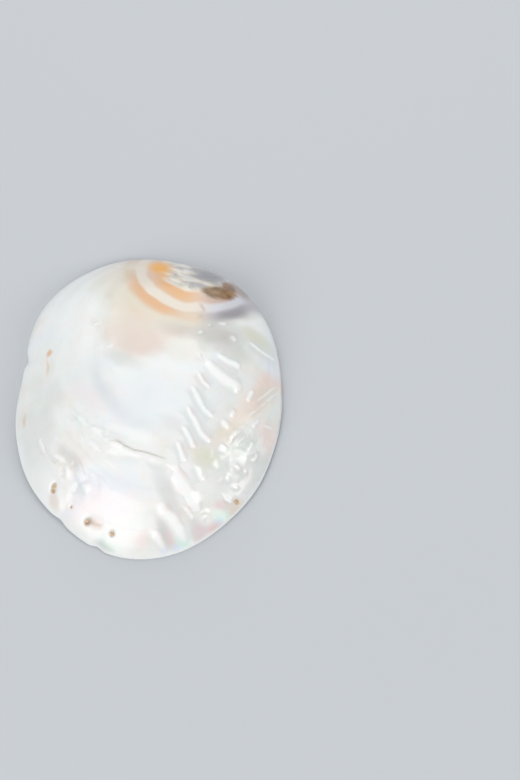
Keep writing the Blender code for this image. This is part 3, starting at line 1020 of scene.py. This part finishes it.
def beak_colours(graph, plan, body, finish):
    """The body's colours with the growth rings and the worn patch at the beak over them."""
    noise = graph.noise(plan, 0.08 / MM, 1.0, output="Color")
    swayed = graph.swayed(plan, noise, SMALL_SWAY)
    across = graph.add("ShaderNodeSeparateXYZ", None, {0: swayed}, "X") / MM
    ring = graph.vector("DISTANCE", swayed, plan_point(RING_CENTRE), output="Value") / MM
    orange = tuple(finish.orange_colour)

    warm = graph.ramp(ring / RINGS_END, [
        (0.35, CREAM), (0.42, PEACH_WHITE), (0.47, PEACH), (0.57, PEACH), (0.615, ROSE_WHITE),
        (0.70, ROSE_WHITE), (0.735, BEIGE), (0.82, BEIGE), (0.92, CREAM),
    ])
    cool = graph.ramp(ring / RINGS_END, [
        (0.40, WORN_GREY_AND_SHADE), (0.46, MAUVE), (0.60, MAUVE), (0.65, PEARL_GREY),
        (0.72, PEARL_GREY), (0.775, LILAC), (0.82, LILAC), (0.90, SAND),
    ])
    rings = graph.mix(graph.smooth(across, *COOL_TO_WARM), cool, warm)
    colours = graph.mix(graph.smooth(ring, *RINGS_FADE), body, rings)
    for (start, end, place), colour in ((OUTER_RING, PALE_ORANGE), (INNER_RING, orange)):
        band = graph.smooth(ring, *start) * graph.smooth(ring, *end)
        band = band * patch(graph, swayed, *place)
        colours = graph.mix(band, colours, colour)

    grain = graph.drawn_out(plan, WORN_BEARING, 0.35)
    streaks = graph.noise(grain, 0.32 / MM, 3.0, 0.55, 0.3)
    worn = graph.ramp(streaks, [
        (0.32, WORN_LILAC), (0.43, WORN_GREY_AND_SHADE), (0.52, CREAM), (0.66, WHITE),
    ])
    colours = graph.mix(graph.attribute("worn"), colours, worn)
    spots = graph.noise(plan, 0.24 / MM, 3.0, 0.6)
    brown = graph.ramp(spots, [(0.34, DARK_BROWN), (0.48, BROWN), (0.64, GOLD)])
    for place, half_widths, turn, colour, share in (
        ((-6.0, 66.4), (9.0, 4.0), 10, CREAM, 0.75),
        ((3.8, 65.0), (7.5, 6.0), -35, VIVID_ORANGE, 1.0),
        ((6.2, 57.5), (5.0, 2.4), -50, orange, 0.9),
        ((8.4, 54.6), (4.6, 2.0), -40, ROSE_WHITE, 0.7),
        ((27.0, 60.0), (12.0, 6.5), -35, DARK_LILAC, 0.95),
        ((30.0, 61.5), (10.0, 3.4), -35, DARK_LILAC, 0.6),
        ((23.5, 50.8), (5.0, 2.4), -10, WORN_LILAC, 0.8),
        ((18.0, 56.5), (7.0, 2.0), -35, WORN_GREY_AND_SHADE, 0.5),
        ((38.0, 36.6), (10.0, 3.6), 32, DARK_LILAC, 0.6),
        ((24.6, 37.4), (0.9, 3.0), 35, MAUVE, 0.6),
        ((29.6, 42.6), (5.0, 1.8), 5, MAUVE, 0.8),
        ((43.0, 54.0), (5.0, 9.0), 10, TAUPE, 0.9),
    ):
        mark = patch(graph, swayed, place, half_widths, turn)
        colours = graph.mix(mark * share, colours, colour)
    left = patch(graph, swayed, (32.0, 47.6), (10.5, 5.6), 0)
    right = patch(graph, swayed, (36.8, 52.0), (5.0, 5.6), 15)
    stained = left.maths("MAXIMUM", left, right) + (streaks - 0.5) * 0.9
    return graph.mix(graph.smooth(stained, 0.2, 0.85), colours, brown)


def nacre_material(finish):
    """Polished mother-of-pearl: white with pastel shifts, painted highlights and shade on its
    relief, and orange rings at the beak.
    """
    material = bpy.data.materials.new("nacre")
    material.use_nodes = True
    graph = Graph(material.node_tree)
    graph.tree.nodes.clear()
    place = graph.add("ShaderNodeTexCoord", output="Object")
    outer = graph.smooth(graph.attribute("outer"), 0.0, 0.35)
    inner = graph.smooth(graph.attribute("inner"), 0.0, 0.35)
    relief = graph.attribute("relief")
    tilt = graph.attribute("tilt")
    age = graph.attribute("growth", "Vector")

    plan = graph.vector("MULTIPLY", place, (1, 1, 0))
    noise = graph.noise(place, 0.08 / MM, 2.0, output="Color")
    nudged = graph.swayed(plan, noise, SMALL_SWAY)
    shaken = graph.swayed(plan, noise, LARGE_SWAY)

    # The body, mottled between white, grey and cream, with faint growth lines
    mottle = graph.noise(place, 0.045 / MM, 2.0, 0.5, 0.4)
    main = tuple(finish.body_colour)
    body = graph.ramp(mottle, [(0.34, BLUE_WHITE), (0.45, main), (0.55, main), (0.66, PALE_CREAM)])
    lines = graph.noise(graph.vector("MULTIPLY", age, FAINT_LINES), 1.0, 3.0, 0.6)
    faint = graph.smooth(lines, 0.5, 0.72) * 0.35 * graph.attribute("reach")
    body = graph.mix(faint, body, SOFT_GREY_AND_SHADE)
    # Painted shade in a band along the edge of the smooth blue-white area
    from_centre = graph.vector("DISTANCE", nudged, plan_point(ARC_CENTRE), output="Value") / MM
    off_arc = from_centre - ARC_REACH
    arc_shade = math.e ** (-(off_arc * off_arc) / ARC_WIDTH**2)
    arc_shade = arc_shade * patch(graph, plan, *ARC_OVAL)
    body = graph.mix(arc_shade * 0.85, body, ARC_SHADE_GREY)
    for where, half_widths, turn, colour, share in PATCHES:
        coordinates = shaken if max(half_widths) > SMALL_PATCH else nudged
        spot = patch(graph, coordinates, where, half_widths, turn)
        body = graph.mix(spot * share, body, colour)

    # Painted highlights along the crests, painted shade round their feet and on flanks turned from
    # the key light, and pastel shifts where the face turns, which partly paint an iridescent sheen
    crest = graph.attribute("crest")
    # Painted shade round the foot of each crest
    body = graph.mix(graph.attribute("foot") * 0.5, body, SHADE_GREY)
    # Painted shade on flanks turned from the key light
    body = graph.mix(graph.smooth(tilt, 0.02, 0.22) * 0.3, body, SHADE_GREY)
    # Painted highlight along each crest
    body = graph.mix(graph.smooth(crest, 0.1, 0.95) * 0.95, body, HIGHLIGHT_WHITE)
    # Painted glints scattered over the lumpy part
    painted_glints = graph.noise(place, 0.17 / MM, 1.5, 0.5, 0.6)
    painted_glints = graph.smooth(painted_glints, 0.52, 0.66) * patch(graph, plan, *PAINTED_GLINT_OVAL)
    body = graph.mix(painted_glints * 0.5, body, HIGHLIGHT_WHITE)
    # A pastel tint: its noise is the nacre's own mottle, and its shift with the face's tilt paints
    # an iridescent sheen
    shimmer = graph.noise(place, 0.1 / MM, 1.5, 0.5, 0.5)
    hue = graph.ramp(tilt * 0.3 + shimmer, [
        (0.30, MINT), (0.42, MINT_WHITE), (0.47, WHITE), (0.53, WHITE), (0.58, ROSE),
        (0.70, PINK),
    ])
    body = graph.mix(0.1 + 0.18 * graph.smooth(tilt * tilt, 0.001, 0.05), body, hue)
    # Painted shade in the hollows of the relief
    body = graph.mix(graph.smooth(relief, 0.0, -0.6) * 0.4, body, SOFT_GREY_AND_SHADE)
    body = beak_colours(graph, plan, body, finish)

    # Worm holes, and painted shade in the crack
    pits = graph.noise(place, 0.9 / MM, 2.0)
    stain = graph.ramp(pits, [(0.4, GOLD), (0.6, HONEY)])
    holes = None
    for where, radius in WORM_HOLES:
        reach = STAIN_REACH * radius / MM
        mask = patch(graph, plan, where, (reach, reach), 0)
        holes = mask if holes is None else holes.maths("MAXIMUM", holes, mask)
    holes = holes * outer
    body = graph.mix(holes * 0.95, body, stain)
    # Painted shade along the crack
    body = graph.mix(graph.attribute("crack") * 0.6, body, CRACK_SHADE)

    # The inside: silver and lavender, with painted shade in the grooves between its ribs, a brown
    # scar where the muscle held, and a brown margin along the hinge
    first, second = (patch(graph, nudged, *each) for each in SCAR_OVALS)
    scar = graph.smooth(first - second, 0.3, 0.5)
    tone = graph.noise(graph.vector("MULTIPLY", age, (3.0, 3.0, 14.0)), 1.0, 3.0, 0.6, 0.4)
    leather = graph.ramp(tone, [
        (0.34, SCAR_ROSE), (0.46, SCAR_BROWN), (0.6, SCAR_GOLD), (0.72, CREAM),
    ])
    silver = graph.ramp(mottle, [
        (0.32, SILVER), (0.44, LILAC_WHITE), (0.56, ROSE_SILVER), (0.7, PALE_CREAM),
    ])
    # Painted shade in the grooves between the inner ribs
    shaded_groove = graph.smooth(relief, 0.1, -0.5) * patch(graph, plan, *RIBBED_OVAL)
    hollow = graph.mix(shaded_groove * 0.8, silver, WORN_GREY_AND_SHADE)
    hollow = graph.mix(scar * 0.92, hollow, leather)
    streaks = graph.add("ShaderNodeCombineXYZ", None, {"Z": graph.attribute("edge") * 26.0})
    streaks = graph.vector("ADD", streaks, graph.vector("SCALE", plan, 0.05 / MM))
    streaks = graph.ramp(graph.noise(streaks, 1.0, 3.0, 0.55, 0.2), [
        (0.34, SCAR_ROSE), (0.44, TAUPE), (0.50, CREAM), (0.57, SILVER), (0.66, SCAR_GOLD),
    ])
    margin = graph.smooth(graph.attribute("edge"), *HINGE_MARGIN)
    margin = graph.smooth(margin * patch(graph, nudged, *HINGE_OVAL), 0.0, 0.7)
    colour = graph.mix(margin * 0.9, graph.mix(inner, WHITE, hollow), streaks)
    colour = graph.mix(outer, colour, body)

    rough = graph.noise(place, 0.3 / MM, 3.0)
    roughness = finish.roughness + 0.12 * (rough - 0.5) + 0.3 * holes
    grain = graph.noise(place, 0.6 / MM, 2.0, 0.5)
    bumps = graph.add("ShaderNodeBump", None, {
        "Strength": 0.05, "Distance": 0.05 * MM, "Height": grain,
    })
    shader = graph.add("ShaderNodeBsdfPrincipled", None, {
        "Base Color": colour, "Roughness": roughness, "Normal": bumps,
        "Coat Weight": finish.polish, "Coat Roughness": 0.16,
        "Sheen Weight": finish.sheen, "Sheen Roughness": 0.4,
        "Subsurface Weight": finish.depth, "Subsurface Scale": 1.0 * MM,
        "Subsurface Radius": (1.0, 0.8, 0.7),
        "Thin Film Thickness": finish.film, "Thin Film IOR": 1.45,
    })
    graph.add("ShaderNodeOutputMaterial", None, {"Surface": shader})
    return material


def stage_material(colour):
    material = bpy.data.materials.new("stage")
    material.use_nodes = True
    graph = Graph(material.node_tree)
    graph.tree.nodes.clear()
    shader = graph.add("ShaderNodeBsdfPrincipled", None, {
        "Base Color": (*colour, 1.0), "Roughness": 0.45,
    })
    graph.add("ShaderNodeOutputMaterial", None, {"Surface": shader})
    return material


def place_object(name, data):
    placed = bpy.data.objects.new(name, data)
    bpy.context.scene.collection.objects.link(placed)
    return placed


def make_plain(piece):
    """Turns the result of a piece's modifiers into its own plain mesh."""
    depsgraph = bpy.context.evaluated_depsgraph_get()
    shaped = piece.evaluated_get(depsgraph)
    mesh = bpy.data.meshes.new_from_object(
        shaped, preserve_all_data_layers=True, depsgraph=depsgraph
    )
    piece.modifiers.clear()
    before = piece.data
    piece.data = mesh
    bpy.data.meshes.remove(before)


class ShellShape(bpy.types.PropertyGroup):
    """Sizes of the relief on the valve."""

    crest_height: FloatProperty(
        name="Crest Height",
        description="Height of the folds and wrinkles, as a share of the built one",
        default=1.0, min=0.0, max=2.0, subtype="FACTOR",
    )
    lump_height: FloatProperty(
        name="Lump Height", description="Height of the small lumps between the folds",
        default=0.2 * MM, min=0.0, max=2 * MM, subtype="DISTANCE", unit="LENGTH",
    )
    lump_size: FloatProperty(
        name="Lump Size", description="Width of the small lumps",
        default=8.0 * MM, min=MM, max=20 * MM, subtype="DISTANCE", unit="LENGTH",
    )
    wave_height: FloatProperty(
        name="Wave Height", description="Height of the broad waves of the polished face",
        default=1.0 * MM, min=0.0, max=4 * MM, subtype="DISTANCE", unit="LENGTH",
    )
    wave_size: FloatProperty(
        name="Wave Size", description="Width of the broad waves of the polished face",
        default=22.0 * MM, min=5 * MM, max=80 * MM, subtype="DISTANCE", unit="LENGTH",
    )
    crease_height: FloatProperty(
        name="Crease Height", description="Height of the short creases on the belly side",
        default=0.3 * MM, min=0.0, max=2 * MM, subtype="DISTANCE", unit="LENGTH",
    )
    crease_size: FloatProperty(
        name="Crease Size", description="Width from one short crease to the next",
        default=4.0 * MM, min=MM, max=20 * MM, subtype="DISTANCE", unit="LENGTH",
    )
    rib_height: FloatProperty(
        name="Rib Height", description="Height of the ribs on the inner face",
        default=1.1 * MM, min=0.0, max=2 * MM, subtype="DISTANCE", unit="LENGTH",
    )
    rib_size: FloatProperty(
        name="Rib Size", description="Width from one rib of the inner face to the next",
        default=7.0 * MM, min=MM, max=20 * MM, subtype="DISTANCE", unit="LENGTH",
    )
    line_height: FloatProperty(
        name="Growth Line Height", description="Height of the fine growth lines",
        default=0.2 * MM, min=0.0, max=MM, subtype="DISTANCE", unit="LENGTH",
    )
    worn_height: FloatProperty(
        name="Worn Height", description="Height of the small pits of the worn place at the beak",
        default=0.6 * MM, min=0.0, max=2 * MM, subtype="DISTANCE", unit="LENGTH",
    )


class ShellFinish(bpy.types.PropertyGroup):
    """Colours and gloss of the nacre."""

    body_colour: FloatVectorProperty(
        name="Body Colour", description="Main colour of the polished nacre",
        default=WHITE, size=4, min=0.0, max=1.0, subtype="COLOR",
    )
    orange_colour: FloatVectorProperty(
        name="Orange Colour", description="Colour of the inner growth ring at the beak",
        default=ORANGE, size=4, min=0.0, max=1.0, subtype="COLOR",
    )
    roughness: FloatProperty(
        name="Roughness", description="How dull the polish is",
        default=0.32, min=0.0, max=1.0, subtype="FACTOR",
    )
    polish: FloatProperty(
        name="Polish", description="Strength of the clear polish over the nacre",
        default=0.35, min=0.0, max=1.0, subtype="FACTOR",
    )
    sheen: FloatProperty(
        name="Sheen", description="Strength of the pearly glow where the face turns away",
        default=0.25, min=0.0, max=1.0, subtype="FACTOR",
    )
    depth: FloatProperty(
        name="Depth", description="How much light passes into the nacre",
        default=0.15, min=0.0, max=1.0, subtype="FACTOR",
    )
    film: FloatProperty(
        name="Film Thickness",
        description="Thickness of the nacre's layers in nanometres, which tints its gloss",
        default=420.0, min=0.0, max=1000.0,
    )


class ShellStage(bpy.types.PropertyGroup):
    """The floor, the lights and the camera."""

    floor_colour: FloatVectorProperty(
        name="Floor Colour", description="Colour of the floor",
        default=srgb(196, 200, 204)[:3], size=3, min=0.0, max=1.0, subtype="COLOR",
    )
    key_power: FloatProperty(
        name="Key Light", description="Power of the main light", default=8.2, min=0.0,
        subtype="POWER", unit="POWER",
    )
    back_power: FloatProperty(
        name="Back Light", description="Power of the wide light behind", default=6.6, min=0.0,
        subtype="POWER", unit="POWER",
    )
    side_power: FloatProperty(
        name="Side Light", description="Power of the light on the beak's side", default=3.8,
        min=0.0, subtype="POWER", unit="POWER",
    )
    sky: FloatProperty(
        name="Room Light", description="Strength of the light from all round",
        default=0.46, min=0.0, max=5.0,
    )
    elevation: FloatProperty(
        name="Camera Elevation", description="Height of the camera's view above the floor",
        default=math.radians(65), min=0.0, max=math.pi / 2, subtype="ANGLE", unit="ROTATION",
    )
    distance: FloatProperty(
        name="Camera Distance", description="Distance of the camera from the valve",
        default=834 * MM, min=0.1, subtype="DISTANCE", unit="LENGTH",
    )


class SHELL_OT_add_valve(bpy.types.Operator):
    """Make the polished valve with its relief and its nacre"""

    bl_idname = "shell.add_valve"
    bl_label = "Add Valve"

    def execute(self, context):
        shape = context.scene.shell_shape
        valve = place_object("nacre_valve", valve_mesh())
        lines = place_object("crest_lines", crest_mesh())
        tree, inputs = relief_tree()
        modifier = valve.modifiers.new("relief", "NODES")
        modifier.node_group = tree
        for name, value in (
            ("Crest Lines", lines), ("Crest Height", shape.crest_height),
            ("Lump Height", shape.lump_height), ("Lump Size", shape.lump_size),
            ("Wave Height", shape.wave_height), ("Wave Size", shape.wave_size),
            ("Crease Height", shape.crease_height), ("Crease Size", shape.crease_size),
            ("Rib Height", shape.rib_height), ("Rib Size", shape.rib_size),
            ("Growth Line Height", shape.line_height), ("Worn Height", shape.worn_height),
            ("Material", nacre_material(context.scene.shell_finish)),
        ):
            modifier[inputs[name]] = value
        make_plain(valve)
        bpy.data.objects.remove(lines, do_unlink=True)
        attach(valve, "root")
        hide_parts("valve")
        return {"FINISHED"}


class SHELL_OT_set_stage(bpy.types.Operator):
    """Lay the floor and set the lights and the camera"""

    bl_idname = "shell.set_stage"
    bl_label = "Set Stage"

    FLOOR_HALF_WIDTH = 2.0
    ROOM_COLOUR = (0.95, 0.97, 1.0, 1.0)
    # The size of the camera's picture in pixels, a point of the valve, and where the picture
    # has that point, in pixels right of its own middle and below it
    PICTURE = (520, 780)
    SEEN_POINT = (0.25 * MM, -7.0 * MM, 10.0 * MM)
    SEEN_AT = (-111.5, 20.0)
    LENS = 85.0
    SENSOR = 36.0

    def execute(self, context):
        stage = context.scene.shell_stage
        self.lay_floor(stage)
        self.add_light("key", (-0.6, -0.8, 0.8), 0.9, stage.key_power)
        self.add_light("back", (0.0, 1.0, 0.8), 1.2, stage.back_power)
        self.add_light("side", (1.0, -0.3, 0.6), 0.4, stage.side_power)
        world = bpy.data.worlds.new("studio")
        context.scene.world = world
        world.use_nodes = True
        background = world.node_tree.nodes["Background"]
        background.inputs["Color"].default_value = self.ROOM_COLOUR
        background.inputs["Strength"].default_value = stage.sky
        context.scene.view_settings.view_transform = "Standard"
        self.place_camera(context.scene, stage)
        return {"FINISHED"}

    def lay_floor(self, stage):
        half = self.FLOOR_HALF_WIDTH
        mesh = bpy.data.meshes.new("floor")
        corners = [(-half, -half, 0), (half, -half, 0), (half, half, 0), (-half, half, 0)]
        mesh.from_pydata(corners, [], [(0, 1, 2, 3)])
        mesh.materials.append(stage_material(tuple(stage.floor_colour)))
        place_object("floor", mesh)

    def add_light(self, name, place, size, power):
        light = bpy.data.lights.new(name, "AREA")
        light.size = size
        light.energy = power
        lamp = place_object(name, light)
        lamp.location = place
        lamp.rotation_euler = (-Vector(place)).to_track_quat("-Z", "Y").to_euler()

    def place_camera(self, scene, stage):
        camera = bpy.data.cameras.new("camera")
        camera.lens = self.LENS
        camera.sensor_width = self.SENSOR
        seen_from = place_object("camera", camera)
        pixel = stage.distance * self.SENSOR / self.LENS / self.PICTURE[1]
        rise, level = math.sin(stage.elevation), math.cos(stage.elevation)
        forward = Vector((0, level, -rise))
        up = Vector((0, rise, level))
        right = Vector((1, 0, 0))
        aim = Vector(self.SEEN_POINT) - right * self.SEEN_AT[0] * pixel
        aim += up * self.SEEN_AT[1] * pixel
        seen_from.location = aim - forward * stage.distance
        seen_from.rotation_euler = (math.pi / 2 - stage.elevation, 0, 0)
        scene.camera = seen_from


class SHELL_PT_panel(bpy.types.Panel):
    """Sizes, colours and steps of the shell"""

    bl_idname = "SHELL_PT_panel"
    bl_label = "Pearl Oyster Shell"
    bl_space_type = "VIEW_3D"
    bl_region_type = "UI"
    bl_category = "Shell"

    def draw(self, context):
        scene = context.scene
        for group in (scene.shell_shape, scene.shell_finish, scene.shell_stage):
            box = self.layout.box()
            for name in group.__annotations__:
                box.prop(group, name)
        self.layout.operator("shell.add_valve")
        self.layout.operator("shell.set_stage")


CLASSES = (
    ShellShape, ShellFinish, ShellStage, SHELL_OT_add_valve, SHELL_OT_set_stage, SHELL_PT_panel,
)


def register():
    for each in CLASSES:
        bpy.utils.register_class(each)
    bpy.types.Scene.shell_shape = PointerProperty(type=ShellShape)
    bpy.types.Scene.shell_finish = PointerProperty(type=ShellFinish)
    bpy.types.Scene.shell_stage = PointerProperty(type=ShellStage)


def unregister():
    del bpy.types.Scene.shell_stage
    del bpy.types.Scene.shell_finish
    del bpy.types.Scene.shell_shape
    for each in reversed(CLASSES):
        bpy.utils.unregister_class(each)


def main():
    register()
    bpy.ops.shell.add_valve()
    bpy.ops.shell.set_stage()
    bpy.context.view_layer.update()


if __name__ == "__main__":
    main()
